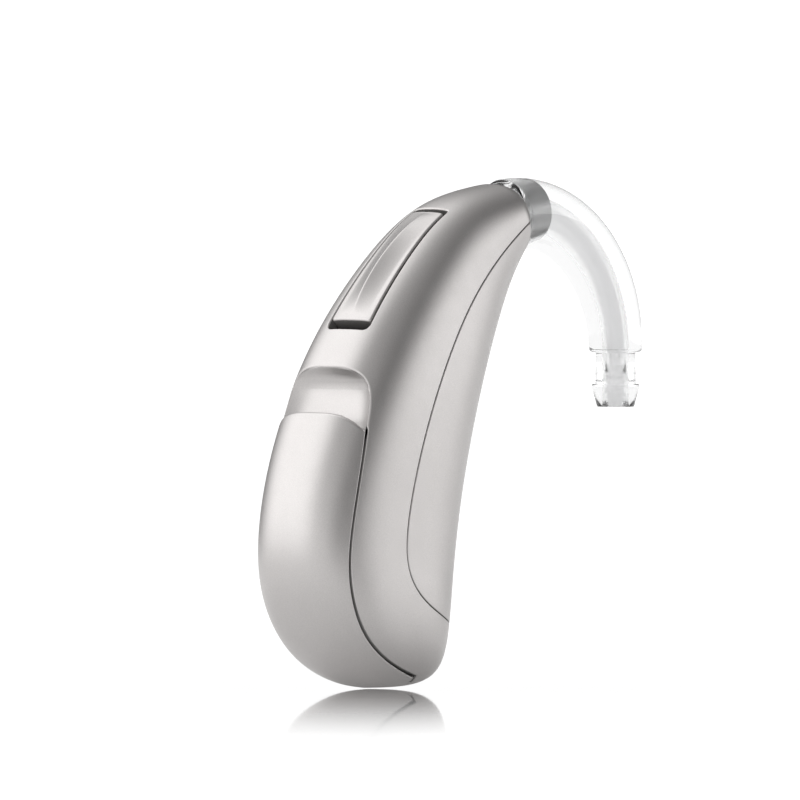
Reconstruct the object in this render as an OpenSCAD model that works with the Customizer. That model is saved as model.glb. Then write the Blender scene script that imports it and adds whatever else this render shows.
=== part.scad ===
/* [Casing] */
// Height of the casing from its heel to its crown
casing_h = 36; // [35:0.5:39]
// Depth of the casing from the foot of its back to the face of its nose
casing_d = 24; // [23.5:0.25:26]
// Width of the casing across its flanks
casing_w = 9.8; // [9.7:0.05:11]
// Wall of the moulded shells
wall = 0.85; // [0.75:0.05:0.9]
// Rounding of the rim round the hook seat
nose_round = 1; // [0.6:0.1:1.2]
// Thickness of the casing behind the hook seat
nose_plate = 1.4; // [1.2:0.1:1.5]
// Joint line between the front cover and the housing
cover_gap = 0.06; // [0.04:0.01:0.1]
// Running gap between the battery door and the housing
door_gap = 0.12; // [0.1:0.01:0.16]

/* [Battery door] */
// Diameter of the hinge pin
door_pin_d = 0.8; // [0.6:0.05:0.9]
// Radius of the hinge knuckle round the pin
knuckle_r = 1.25; // [1.1:0.05:1.35]
// Gap between the knuckle and its pocket in the housing
knuckle_gap = 0.14; // [0.1:0.01:0.2]
// Width of the hinge knuckle
knuckle_w = 5; // [4:0.1:5.2]
// Length of each end of the hinge pin in the cheeks of the housing
pin_end = 0.6; // [0.4:0.05:0.7]
// Running clearance of a pin in its bore, on the radius
pin_clear = 0.03; // [0.02:0.01:0.05]
// Wall of the tray that holds the cell
tray_wall = 0.45; // [0.35:0.05:0.5]
// Play between the cell and its tray
tray_clear = 0.06; // [0.04:0.01:0.1]
// Width of the tray
tray_w = 5; // [4:0.1:5.2]

/* [Cell] */
// Diameter of the zinc-air cell
cell_d = 7.9; // [7.7:0.05:7.9]
// Height of the zinc-air cell
cell_t = 5.4; // [5.05:0.05:5.4]
// Diameter of the negative lid of the cell
lid_d = 6.2; // [5.8:0.1:6.4]
// Step between the lid and the can
lid_step = 0.5; // [0.4:0.05:0.7]
// Width of the sealing ring round the lid
gasket_w = 0.35; // [0.25:0.05:0.4]

/* [Rocker switch] */
// Width of the rocker at its lower end
rocker_low_w = 3.7; // [3.5:0.05:3.9]
// Width of the rocker at its upper end
rocker_top_w = 3; // [2.8:0.05:3.2]
// Thickness of the rocker
rocker_t = 0.95; // [0.8:0.05:1]
// Height of the ridge along the rocker
ridge_h = 0.55; // [0.3:0.05:0.7]
// Gap along the sides of the rocker
rocker_gap = 0.12; // [0.1:0.01:0.15]
// Width of the microphone slot below the rocker
slot_low = 0.75; // [0.6:0.05:0.9]
// Width of the microphone slot above the rocker
slot_top = 0.4; // [0.35:0.05:0.5]
// Diameter of the pivot pin of the rocker
rocker_pin_d = 0.7; // [0.5:0.05:0.8]
// Length of the pivot pin of the rocker
rocker_pin_l = 4; // [3.8:0.1:4.2]
// Depth of the pivot below the back of the casing
pivot_depth = 1.8; // [1.75:0.05:1.85]
// Thickness of the base of the switch frame
frame_t = 0.5; // [0.4:0.05:0.6]

/* [Ear hook] */
// Radius of the arch, to its middle line
arch_r = 10; // [9.5:0.1:11]
// Rise of the hook where it leaves the nose, in degrees
seat_tilt = 8; // [4:1:12]
// Outer radius of the arch at the nose
hook_root_r = 2.6; // [2.4:0.05:2.7]
// Outer radius of the arch above the nozzle
hook_tip_r = 1.87; // [1.75:0.01:2]
// Radius of the sound channel
channel_r = 0.65; // [0.5:0.05:0.75]
// Radius of the nozzle neck
neck_r = 1.42; // [1.3:0.01:1.5]
// Length of the nozzle neck
neck_l = 2.3; // [2:0.1:2.6]
// Largest radius of the barb that holds the tubing
barb_r = 1.67; // [1.6:0.01:1.72]
// Radius of the barb at its tip
barb_tip_r = 1.32; // [1.2:0.01:1.4]
// Length of the barb with its land
barb_l = 1.6; // [1.4:0.1:2]
// Length of the straight land at the top of the barb
barb_land = 0.3; // [0.2:0.05:0.4]
// Radius of the threaded spigot that carries the hook
spigot_r = 1.2; // [1.1:0.05:1.3]
// Length of the spigot
spigot_l = 2.6; // [2:0.1:2.8]
// Running clearance between the hook and the spigot, on the radius
thread_clear = 0.04; // [0.03:0.01:0.06]
// Gap between the hook and the nose
hook_gap = 0.15; // [0.1:0.01:0.2]

/* [Inner works] */
// Length of the receiver
receiver_l = 6.4; // [6:0.1:6.6]
// Free space between the inner works and the wall on each side
works_side = 1.55; // [1.5:0.05:1.8]
// Height of the receiver
receiver_h = 2.7; // [2.5:0.1:2.8]
// Length of each microphone
mic_l = 2.4; // [2.2:0.1:2.6]
// Width of each microphone
mic_w = 2.8; // [2.6:0.1:3]
// Height of each microphone
mic_h = 0.9; // [0.8:0.1:1]
// Thickness of the circuit board
board_t = 0.4; // [0.3:0.05:0.5]
// Diameter of the telecoil
coil_d = 1.5; // [1.3:0.1:1.6]
// Thickness of the spring contacts
contact_t = 0.15; // [0.1:0.01:0.2]
// Width of the spring contacts
contact_w = 1.6; // [1.2:0.1:1.8]
// Thickness of the chassis
chassis_t = 0.5; // [0.4:0.05:0.6]

/* [Hidden] */

// Overrun of every cut past the face that it opens
over = 1;
// Smooth round faces
$fn = 64;
// Clearance between fixed pieces that only rest against each other
seat_clear = 0.03;

// Cross-sections of the casing from its heel to its nose. Each row has the
// point on the back, the point on the front, half the width, and how square
// the section is. The points are shares of the depth and of the height.
section_shares = [
    [0.408, 0, 0.408, 0, 0, 3.4],
    [0.354, 0.006, 0.554, 0, 0.245, 3.4],
    [0.233, 0.05, 0.629, 0.031, 0.449, 3.4],
    [0.117, 0.136, 0.65, 0.128, 0.505, 3.4],
    [0.058, 0.25, 0.671, 0.228, 0.5, 3.4],
    [0.092, 0.406, 0.696, 0.342, 0.5, 3.4],
    [0.188, 0.564, 0.733, 0.458, 0.5, 3.4],
    [0.325, 0.719, 0.792, 0.575, 0.48, 3.2],
    [0.525, 0.864, 0.867, 0.689, 0.429, 3],
    [0.725, 0.969, 0.95, 0.783, 0.367, 2.6],
    [1.004, 0.992, 1.033, 0.856, 0.306, 2.2]
];
SECTIONS = [
    for (r = section_shares)
        [r[0] * casing_d, r[1] * casing_h, r[2] * casing_d, r[3] * casing_h, r[4] * casing_w, r[5]]
];
last = len(SECTIONS) - 1;

// Side outlines of the joint lines, as shares of the depth and of the height
door_seam_shares = [
    [0.233, 0.514], [0.196, 0.422], [0.163, 0.328], [0.148, 0.247], [0.167, 0.172],
    [0.225, 0.1], [0.342, 0.044], [0.533, 0.014]
];
cover_seam_shares = [
    [1.025, 0.925], [0.858, 0.861], [0.692, 0.769], [0.558, 0.644], [0.458, 0.508],
    [0.392, 0.369], [0.367, 0.261], [0.413, 0.192], [0.525, 0.144], [0.7, 0.108]
];
scoop_shares = [
    [0.254, 0.64], [0.267, 0.617], [0.267, 0.594], [0.256, 0.561], [0.242, 0.531], [0.233, 0.512]
];
// Point where the top edge of the door crosses the back
door_top_share = [0.181, 0.561];

// A point at place u of a smooth curve that starts and ends on its end points
function curve(p, u) =
    let (m = len(p))
    let (i = min(max(floor(u), 0), m - 2))
    let (t = u - i)
    let (a = i == 0 ? 2 * p[0] - p[1] : p[i - 1])
    let (d = i + 2 > m - 1 ? 2 * p[m - 1] - p[m - 2] : p[i + 2])
    (pow(1 - t, 3) * a + (3 * pow(t, 3) - 6 * t * t + 4) * p[i]
        + (3 * t + 3 * t * t - 3 * pow(t, 3) + 1) * p[i + 1] + pow(t, 3) * d) / 6;
function smooth(p, steps) = [for (i = [0:steps]) curve(p, (len(p) - 1) * i / steps)];
function sized(shares) = [for (s = shares) [s[0] * casing_d, s[1] * casing_h]];

function section(u) = curve(SECTIONS, u);
function back_at(u) = let (s = section(u)) [s[0], s[1]];
function front_at(u) = let (s = section(u)) [s[2], s[3]];
function mid_at(u) = (back_at(u) + front_at(u)) / 2;
function half_at(u) = (front_at(u) - back_at(u)) / 2;
function signed_power(v, e) = sign(v) * pow(abs(v), e);
// A point of the side view at place u along the casing and t across it
function side_at(u, t) = mid_at(u) + half_at(u) * t;
function angle_of(v) = atan2(v[1], v[0]);

// One ring of the casing skin, drawn in by inset
function ring(u, inset, sides) =
    let (s = section(u), c = mid_at(u), h = half_at(u))
    let (k = max(norm(h) - inset, 0) / norm(h), b = max(s[4] - inset, 0))
    [for (j = [0:sides - 1])
        let (t = -signed_power(cos(360 * j / sides), 2 / s[5]) * k)
        let (y = signed_power(sin(360 * j / sides), 2 / s[5]) * b)
        [c[0] + h[0] * t, y, c[1] + h[1] * t]];

// Places along the casing
nose_step = norm(mid_at(last) - mid_at(last - 1));
function before_nose(d) = last - d / nose_step;
heel_end_share = 0.09;
heel_end = heel_end_share * last;
heel_steps = 6;
heel_places = [for (i = [1:heel_steps]) heel_end * pow(i / heel_steps, 1.5)];
skin_steps = 24;
skin_places = [
    for (i = [1:skin_steps]) heel_end + (before_nose(nose_round) - heel_end) * i / skin_steps
];
round_steps = 4;
search_steps = 200;
function cavity_floor(depth) =
    [for (i = [0:search_steps]) let (u = last * i / search_steps) if (mid_at(u)[1] >= depth) u][0];

// Point inside the back at height z, drawn in by inset
function inside_back(z, inset) =
    let (u = [for (i = [0:search_steps]) let (u = last * i / search_steps) if (back_at(u)[1] >= z) u][0])
    back_at(u) + inset * half_at(u) / norm(half_at(u));

module closed_skin(rings) {
    sides = len(rings[0]);
    count = len(rings);
    points = [for (r = rings) each r];
    polyhedron(points, [
        [for (j = [0:sides - 1]) sides - 1 - j],
        for (i = [0:count - 2], j = [0:sides - 1])
            let (n = (j + 1) % sides)
            each [
                [i * sides + j, i * sides + n, (i + 1) * sides + n],
                [i * sides + j, (i + 1) * sides + n, (i + 1) * sides + j]
            ],
        [for (j = [0:sides - 1]) (count - 1) * sides + j]
    ]);
}

skin_sides = 36;
module outer_skin() {
    closed_skin(concat(
        [for (u = heel_places) ring(u, 0, skin_sides)],
        [for (u = skin_places) ring(u, 0, skin_sides)],
        [for (i = [1:round_steps])
            let (a = 90 * i / round_steps)
            ring(before_nose(nose_round * (1 - sin(a))), nose_round * (1 - cos(a)), skin_sides)]
    ));
}

cavity_sides = 24;
cavity_steps = 18;
module inner_skin(inset) {
    low = cavity_floor(inset);
    high = before_nose(nose_plate);
    closed_skin([
        for (i = [0:cavity_steps]) ring(low + (high - low) * i / cavity_steps, inset, cavity_sides)
    ]);
}

// A flat side outline carried right across the casing
module across(points, width = casing_w + 2 * over) {
    rotate([90, 0, 0]) linear_extrude(width, center = true) polygon(points);
}

// The same line moved sideways by d
function moved(points, d) = [
    for (i = [0:len(points) - 1])
        let (a = points[max(i - 1, 0)], b = points[min(i + 1, len(points) - 1)])
        let (v = (b - a) / norm(b - a))
        points[i] + d * [v[1], -v[0]]
];

seam_steps = 28;
door_line = smooth(sized(door_seam_shares), seam_steps);
door_top = [door_top_share[0] * casing_d, door_top_share[1] * casing_h];
door_lip_way = (door_top - door_line[0]) / norm(door_top - door_line[0]);
cover_line = smooth(sized(cover_seam_shares), seam_steps);
scoop_line = smooth(sized(scoop_shares), 12);

hinge_x_share = 0.533;
door_pin_l = knuckle_w + 2 * knuckle_gap + 2 * pin_end;
knuckle_floor = 0.06;
hinge = [hinge_x_share * casing_d, knuckle_r + knuckle_floor];

module at_hinge() {
    translate([hinge[0], 0, hinge[1]]) rotate([90, 0, 0]) children();
}

// Round blocks beside the knuckle, from the middle out to the flanks
module hinge_cheeks(r, gap) {
    side_w = (casing_w - knuckle_w) / 2 + over;
    for (side = [-1, 1])
        at_hinge() translate([0, 0, side * (knuckle_w / 2 + gap + side_w / 2)])
            cylinder(h = side_w, r = r, center = true);
}

// Side outline of the door, grown by gap
module door_space(gap) {
    line = moved(door_line, -gap);
    top = line[0] + door_lip_way * casing_h;
    end = line[len(line) - 1] + [gap, 0];
    across(concat([[-over, -over], [-over, top[1]], top], line, [end, [end[0], -over]]));
}

module cover_space(gap) {
    far = casing_h + over;
    line = moved(cover_line, gap);
    across(concat(
        line,
        [[far, line[len(line) - 1][1] - far / 4], [far, line[0][1] + far / 8]]
    ));
}

module scoop_space(depth) {
    line = moved(scoop_line, -depth);
    across(concat([[-over, line[0][1] + over]], line, [[-over, line[len(line) - 1][1]]]));
}

// Frame of the rocker: its middle, its slope and its length along the back
rocker_place_shares = [0.707, 0.875];
rocker_places = rocker_place_shares * last;
rocker_low = back_at(rocker_places[0]);
rocker_high = back_at(rocker_places[1]);
rocker_mid = (rocker_low + rocker_high) / 2;
rocker_slope = angle_of(rocker_high - rocker_low);
rocker_l = norm(rocker_high - rocker_low);
rocker_way = [cos(rocker_slope), sin(rocker_slope)];
rocker_out = [-rocker_way[1], rocker_way[0]];
back_over_chord = (back_at((rocker_places[0] + rocker_places[1]) / 2) - rocker_mid) * rocker_out;
pivot_z = back_over_chord - pivot_depth;

module at_rocker() {
    translate([rocker_mid[0], 0, rocker_mid[1]]) rotate([0, -rocker_slope, 0]) children();
}

function rocker_half_w(x) =
    (rocker_low_w + rocker_top_w) / 4 + (rocker_top_w - rocker_low_w) / 2 * x / rocker_l;

// A round corner from one side of it to the other
corner_steps = 4;
corner_turns = [for (i = [0:corner_steps]) 90 * i / corner_steps];
corner_back_turns = [for (i = [corner_steps:-1:0]) 90 * i / corner_steps];
function corner(x, y, along, across, turns) =
    [for (a = turns) [x + along * (1 - cos(a)), y + across * (1 - sin(a))]];

// Outline with two round lower corners and two tighter upper ones
function rocker_outline(side, low, high, r_low, r_high) =
    let (x0 = -rocker_l / 2 - low, x1 = rocker_l / 2 + high)
    let (w0 = rocker_half_w(x0) + side, w1 = rocker_half_w(x1) + side)
    concat(
        corner(x0, w0, r_low, -r_low, corner_turns),
        corner(x1, w1, -r_high, -r_high, corner_back_turns),
        corner(x1, -w1, -r_high, r_high, corner_turns),
        corner(x0, -w0, r_low, r_low, corner_back_turns)
    );

corner_low = 0.5;
corner_top = 0.2;
module rocker_opening() {
    at_rocker()
        translate([0, 0, -wall - over])
            linear_extrude(wall + 3 * over)
                polygon(rocker_outline(rocker_gap, slot_low, slot_top, corner_low, corner_top));
}

// Height of the ridge at s along the rocker and y across it
ridge_w = 1.3;
ridge_shares = [0.08, 0.94];
ridge_swell = 0.8;
ridge_fall = 1.4;
function ridge(s, y) =
    let (e = min(max((s - ridge_shares[0]) / (ridge_shares[1] - ridge_shares[0]), 0), 1))
    ridge_h * pow(sin(180 * pow(e, ridge_swell)), ridge_swell)
        * pow(max(0, 1 - abs(y) / ridge_w), ridge_fall);

rocker_steps = 18;
rocker_row_shares = [-1, -0.7, -0.5, -0.32, -0.16, 0, 0.16, 0.32, 0.5, 0.7, 1];
rocker_reach_share = 0.036;
module rocker_slab() {
    span = rocker_low_w / 2 + ridge_h;
    base = back_over_chord - rocker_t - over;
    places = rocker_places[1] - rocker_places[0];
    grid = [
        for (i = [0:rocker_steps])
            let (s = i / rocker_steps)
            let (u = rocker_places[0] + places * (s * (1 + 2 * rocker_reach_share) - rocker_reach_share))
            let (q = section(u), h = half_at(u))
            [for (r = rocker_row_shares)
                let (y = r * span)
                let (t = -pow(1 - pow(abs(y) / q[4], q[5]), 1 / q[5]))
                let (p = mid_at(u) + h * t - rocker_mid)
                [p * rocker_way, y, p * rocker_out + ridge(s, y)]]
    ];
    rows = len(rocker_row_shares);
    closed_skin([
        for (g = grid) concat(g, [for (j = [rows - 1:-1:0]) [g[j][0], g[j][1], base]])
    ]);
}

module at_pivot() {
    at_rocker() translate([0, 0, pivot_z]) rotate([90, 0, 0]) children();
}

hub_wall = 0.25;
hub_r = rocker_pin_d / 2 + hub_wall;
hub_w = 2.2;
pusher_drop = 0.1;
pusher_x_share = 0.36;
pusher_r = 0.4;
module rocker() {
    color([0.69, 0.67, 0.66]) placed() difference() {
        union() {
            intersection() {
                at_rocker() rocker_slab();
                at_rocker()
                    translate([0, 0, back_over_chord - rocker_t])
                        linear_extrude(rocker_t + 2 * over)
                            polygon(rocker_outline(0, 0, 0, corner_top, corner_top));
            }
            at_pivot() cylinder(h = hub_w, r = hub_r, center = true);
            at_rocker()
                translate([-hub_r, -hub_w / 2, pivot_z])
                    cube([2 * hub_r, hub_w, pivot_depth - 3 * rocker_t / 4]);
            for (side = [-1, 1])
                at_rocker()
                    translate([side * pusher_x_share * rocker_l, 0, pivot_z - pusher_drop])
                        cylinder(h = pusher_drop + pivot_depth - 3 * rocker_t / 4, r = pusher_r);
        }
        at_pivot() cylinder(h = hub_w + 2 * over, r = rocker_pin_d / 2 + pin_clear, center = true);
    }
}

module rocker_pin() {
    color([0.75, 0.75, 0.77]) placed() at_pivot()
        cylinder(h = rocker_pin_l, r = rocker_pin_d / 2, center = true);
}

// The casing is drawn from its own heel and moved so that the place under
// the arch where the ear carries it is the origin
module placed() {
    translate([-rest[0], 0, -rest[1]]) children();
}

hook_face = mid_at(last);
hook_way = [cos(seat_tilt), sin(seat_tilt)];
hook_seat = hook_face + hook_way * hook_gap;
arch_centre = hook_seat - arch_r * [cos(90 + seat_tilt), sin(90 + seat_tilt)];
function arch_radius(a) = hook_tip_r + (hook_root_r - hook_tip_r) * a / (90 + seat_tilt);
rest_angle = 84;
rest = arch_centre + (arch_r - arch_radius(rest_angle)) * [cos(rest_angle), sin(rest_angle)];

module at_hook() {
    translate([hook_seat[0], 0, hook_seat[1]]) rotate([0, 90 - seat_tilt, 0]) children();
}

// Bore for the spigot, with a flat seat for its flange inside the nose
module spigot_hole() {
    inside = nose_plate + hook_gap;
    at_hook() {
        translate([0, 0, -inside - over]) cylinder(h = nose_plate + 2 * over, r = spigot_r + seat_clear);
        translate([0, 0, -inside - 2 * over]) cylinder(h = 2 * over, r = flange_r + seat_clear);
    }
}

// Skirt of the housing that closes the joint behind the lip of the door
skirt_l = 1.8;
skirt_w_share = 0.4;
module door_skirt() {
    low = inside_back(door_line[0][1] - skirt_l, wall + 3 * door_gap);
    high = scoop_line[len(scoop_line) - 1];
    across([low, low + [wall, 0], high + [wall, wall], high + [0, wall], high], skirt_w_share * casing_w);
}

module housing() {
    color([0.66, 0.64, 0.63]) placed() difference() {
        outer_skin();
        difference() {
            inner_skin(wall);
            scoop_space(wall);
            door_skirt();
            hinge_cheeks(knuckle_r, knuckle_gap);
        }
        difference() {
            door_space(door_gap);
            door_skirt();
            hinge_cheeks(knuckle_r, knuckle_gap);
        }
        cover_space(cover_gap);
        scoop_space(0);
        rocker_opening();
        at_hinge() cylinder(h = knuckle_w + 2 * knuckle_gap, r = knuckle_r + knuckle_gap, center = true);
        at_hinge() cylinder(h = door_pin_l + 2 * seat_clear, r = door_pin_d / 2 + pin_clear, center = true);
        spigot_hole();
    }
}

module front_cover() {
    color([0.72, 0.7, 0.69]) placed() difference() {
        intersection() {
            outer_skin();
            cover_space(0);
        }
        inner_skin(wall);
        spigot_hole();
    }
}

module battery_door() {
    color([0.74, 0.73, 0.72]) placed() difference() {
        intersection() {
            outer_skin();
            union() {
                difference() {
                    door_space(0);
                    hinge_cheeks(knuckle_r + knuckle_gap, 0);
                }
                at_hinge() cylinder(h = knuckle_w, r = knuckle_r, center = true);
            }
        }
        difference() {
            inner_skin(wall);
            at_hinge() cylinder(h = knuckle_w, r = knuckle_r, center = true);
        }
        at_hinge() cylinder(h = casing_w, r = door_pin_d / 2 + pin_clear, center = true);
    }
}

module door_pin() {
    color([0.7, 0.7, 0.72]) placed() at_hinge()
        cylinder(h = door_pin_l, r = door_pin_d / 2, center = true);
}

cell_share = [0.335, 0.192];
cell = [cell_share[0] * casing_d, cell_share[1] * casing_h];
module at_cell() {
    translate([cell[0], 0, cell[1]]) rotate([90, 0, 0]) children();
}

tray_r = cell_d / 2 + tray_clear + tray_wall;
foot_angles = [150, 235];
module cell_tray() {
    color([0.25, 0.25, 0.26]) placed() intersection() {
        inner_skin(wall + seat_clear);
        difference() {
            union() {
                at_cell() cylinder(h = tray_w, r = tray_r, center = true);
                across([
                    cell,
                    cell + 2 * tray_r * [cos(foot_angles[0]), sin(foot_angles[0])],
                    cell + 2 * tray_r * [cos(foot_angles[1]), sin(foot_angles[1])]
                ], tray_w);
            }
            at_cell() cylinder(h = tray_w + 2 * over, r = cell_d / 2 + tray_clear, center = true);
        }
    }
}

module cell_can() {
    color([0.78, 0.77, 0.74]) placed() at_cell() difference() {
        translate([0, 0, -cell_t / 2]) cylinder(h = cell_t - lid_step, r = cell_d / 2);
        cylinder(h = cell_t, r = lid_d / 2 + gasket_w);
    }
}

module cell_gasket() {
    color([0.3, 0.3, 0.32]) placed() at_cell() difference() {
        cylinder(h = cell_t / 2 - lid_step, r = lid_d / 2 + gasket_w);
        translate([0, 0, -over]) cylinder(h = cell_t, r = lid_d / 2);
    }
}

module cell_lid() {
    color([0.82, 0.81, 0.78]) placed() at_cell()
        cylinder(h = cell_t / 2, r = lid_d / 2);
}

contact_gap = 0.06;
bay_clear = 0.3;
bay_r = norm(cell - hinge) + tray_r + bay_clear;
bay_angles = [68, 132];
contact_angle = 104;
function bay_at(a, r) = hinge + r * [cos(a), sin(a)];
module contact(side) {
    root = 90 * contact_w / bay_r / PI;
    along = side > 0 ? cell_t / 2 + contact_gap : -cell_t / 2 - contact_gap - contact_t;
    translate([0, along + contact_t, 0]) rotate([90, 0, 0]) linear_extrude(contact_t)
        polygon([
            bay_at(contact_angle + root, bay_r - seat_clear),
            bay_at(contact_angle - root, bay_r - seat_clear),
            cell + [contact_w, 0],
            cell
        ]);
}

module positive_contact() {
    color([0.83, 0.68, 0.38]) placed() contact(1);
}

module negative_contact() {
    color([0.83, 0.68, 0.38]) placed() contact(-1);
}

// Levels below the rocker, in its own frame
dome_h = 0.3;
dome_gap = 0.45;
switch_t = 0.35;
switch_top = pivot_z - dome_gap - dome_h;
frame_top = switch_top - switch_t;
deck_top = frame_top - frame_t;
deck_low = deck_top - chassis_t;
works_w = casing_w - 2 * wall - 2 * works_side;

// Chassis: a curved wall over the battery bay, a stem and a deck for the works
deck_share = [-0.77, 0.63];
deck_start = deck_share[0] * rocker_l;
stem_head = rocker_mid
    + (deck_start + chassis_t / 2) * rocker_way
    + (deck_top - chassis_t / 5) * rocker_out;
stem_foot = bay_at(contact_angle, bay_r + chassis_t / 2);
stem_way = (stem_head - stem_foot) / norm(stem_head - stem_foot);
stem_side = chassis_t * [stem_way[1], -stem_way[0]];
module chassis() {
    color([0.2, 0.2, 0.21]) placed() union() {
        intersection() {
            inner_skin(wall + seat_clear);
            across(concat(
                [for (a = [bay_angles[0]:4:bay_angles[1]]) bay_at(a, bay_r)],
                [for (a = [bay_angles[1]:-4:bay_angles[0]]) bay_at(a, bay_r + chassis_t)]
            ));
        }
        across([stem_foot, stem_foot + stem_side, stem_head + stem_side, stem_head], works_w);
        at_rocker() translate([deck_start, -works_w / 2, deck_low])
            cube([deck_share[1] * rocker_l - deck_start, works_w, chassis_t]);
    }
}

cheek_clear = 0.12;
frame_l_share = 0.84;
module switch_frame() {
    cheek_w = rocker_pin_l / 2 - hub_w / 2 - cheek_clear;
    cheek_mid = hub_w / 2 + cheek_clear + cheek_w / 2;
    color([0.24, 0.24, 0.25]) placed() difference() {
        union() {
            at_rocker() translate([-frame_l_share * rocker_l / 2, -rocker_pin_l / 2, deck_top])
                cube([frame_l_share * rocker_l, rocker_pin_l, frame_t]);
            for (side = [-1, 1]) {
                at_pivot() translate([0, 0, side * cheek_mid])
                    cylinder(h = cheek_w, r = hub_r, center = true);
                at_rocker() translate([-hub_r, side * cheek_mid - cheek_w / 2, deck_top])
                    cube([2 * hub_r, cheek_w, pivot_z - deck_top]);
            }
        }
        at_pivot() cylinder(h = rocker_pin_l + 2 * over, r = rocker_pin_d / 2 + pin_clear, center = true);
    }
}

module switch_board() {
    color([0.13, 0.38, 0.25]) placed() at_rocker() translate([0, 0, frame_top + switch_t / 2])
        cube([frame_l_share * rocker_l, hub_w, switch_t], center = true);
}

dome_r = 0.7;
module switch_domes() {
    color([0.85, 0.84, 0.8]) placed() at_rocker()
        for (side = [-1, 1])
            translate([side * pusher_x_share * rocker_l, 0, switch_top])
                cylinder(h = dome_h, r1 = dome_r, r2 = dome_r / 2);
}

// The board fills the deck between its low end and the receiver
boot_t = 0.3;
boot_l = 1.2;
receiver_x_share = 0.22;
receiver_x = receiver_x_share * rocker_l;
board_gap = 0.43;
board_start = deck_start + 2 * chassis_t;
board_end = receiver_x - receiver_l / 2 - board_gap;
board_l = board_end - board_start;
board_w = works_w;
module at_board() {
    at_rocker() translate([(board_start + board_end) / 2, 0, deck_low]) mirror([0, 0, 1]) children();
}

module circuit_board() {
    color([0.1, 0.35, 0.22]) placed() at_board() translate([-board_l / 2, -board_w / 2, 0])
        cube([board_l, board_w, board_t]);
}

chip_share = [0.55, 0.6];
chip_l = chip_share[0] * board_l;
chip_w = chip_share[1] * board_w;
chip_t = 0.9;
module hearing_chip() {
    color([0.12, 0.12, 0.13]) placed() at_board() translate([-chip_l / 2, -chip_w / 2, board_t])
        cube([chip_l, chip_w, chip_t]);
}

part_share = [0.097, 0.18];
part_l = part_share[0] * board_l;
part_w = part_share[1] * board_w;
part_t = 0.5;
part_pitch_share = 0.3;
module board_parts() {
    color([0.72, 0.62, 0.5]) placed() at_board()
        for (end = [-1, 1], k = [-1, 0, 1])
            translate([end * (board_l + chip_l) / 4, k * part_pitch_share * board_w, board_t + part_t / 2])
                cube([part_l, part_w, part_t], center = true);
}

coil_share = 0.56;
module telecoil() {
    middle = (stem_head + stem_foot) / 2;
    slope = angle_of(stem_way);
    coil_l = coil_share * norm(stem_head - stem_foot);
    side = chassis_t + coil_d / 2 + seat_clear;
    color([0.55, 0.27, 0.12]) placed()
        translate([middle[0] + side * sin(slope), 0, middle[1] - side * cos(slope)])
            rotate([0, 90 - slope, 0]) cylinder(h = coil_l, r = coil_d / 2, center = true);
}

receiver_w = works_w - 3 * boot_t;
receiver_mid = [receiver_x, deck_low - boot_t - receiver_h / 2];
module at_receiver() {
    at_rocker() translate([receiver_mid[0], 0, receiver_mid[1]]) children();
}

module receiver() {
    color([0.76, 0.76, 0.78]) placed() at_receiver()
        cube([receiver_l, receiver_w, receiver_h], center = true);
}

module receiver_boots() {
    color([0.16, 0.16, 0.17]) placed() at_receiver() difference() {
        for (end = [-1, 1])
            translate([end * (receiver_l - boot_l) / 2, 0, 0])
                cube([boot_l, receiver_w + 2 * boot_t, receiver_h + 2 * boot_t], center = true);
        cube([receiver_l + over, receiver_w, receiver_h], center = true);
    }
}

// A round rod between two points of the side view
module rod(p, q, r) {
    way = q - p;
    translate([p[0], 0, p[1]]) rotate([0, 90 - angle_of(way), 0]) cylinder(h = norm(way), r = r);
}

// The sound tube runs from the receiver to the flange of the spigot, cut flush with both
tube_r = 0.9;
spout_out = 0.7;
flange_t = 0.4;
flange_r = 1.7;
tube_start = rocker_mid + (receiver_mid[0] + receiver_l / 2) * rocker_way
    + (receiver_mid[1] + spout_out) * rocker_out;
tube_end = hook_seat - (nose_plate + hook_gap + flange_t + seat_clear) * hook_way;
module receiver_tube() {
    reach = 2 * over * (tube_end - tube_start) / norm(tube_end - tube_start);
    block = 4 * tube_r;
    color([0.35, 0.35, 0.37]) placed() difference() {
        rod(tube_start - reach, tube_end + reach, tube_r);
        rod(tube_start - 2 * reach, tube_end + 2 * reach, channel_r);
        at_receiver() translate([receiver_l / 2 + seat_clear - block, -block / 2, spout_out - block / 2])
            cube(block);
        at_hook() translate([-block / 2, -block / 2, -nose_plate - hook_gap - flange_t - 2 * seat_clear])
            cube(block);
    }
}

// Microphones stand on the deck below the two ends of the rocker opening
mic_shift = 0.2;
port_r = 0.4;
front_mic_x = (rocker_l + slot_top) / 2 + mic_shift;
rear_mic_x = -(rocker_l + slot_low) / 2 - mic_shift;
module microphone(x, port) {
    at_rocker() translate([x, 0, deck_top + seat_clear]) difference() {
        translate([-mic_l / 2, -mic_w / 2, 0]) cube([mic_l, mic_w, mic_h]);
        translate([port, 0, mic_h / 2]) cylinder(h = mic_h, r = port_r);
    }
}

module front_microphone() {
    color([0.78, 0.76, 0.7]) placed() microphone(front_mic_x, -mic_shift / 2);
}

module rear_microphone() {
    color([0.78, 0.76, 0.7]) placed() microphone(rear_mic_x, mic_shift / 2);
}

seal_t = 0.25;
module microphone_seals() {
    color([0.15, 0.15, 0.16]) placed() at_rocker()
        for (place = [[front_mic_x, -mic_shift / 2], [rear_mic_x, mic_shift / 2]])
            translate([place[0], 0, deck_top + seat_clear + mic_h]) difference() {
                translate([-mic_l / 2, -mic_w / 2, 0]) cube([mic_l, mic_w, seal_t]);
                translate([place[1], 0, -over]) cylinder(h = seal_t + 2 * over, r = port_r);
            }
}

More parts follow.
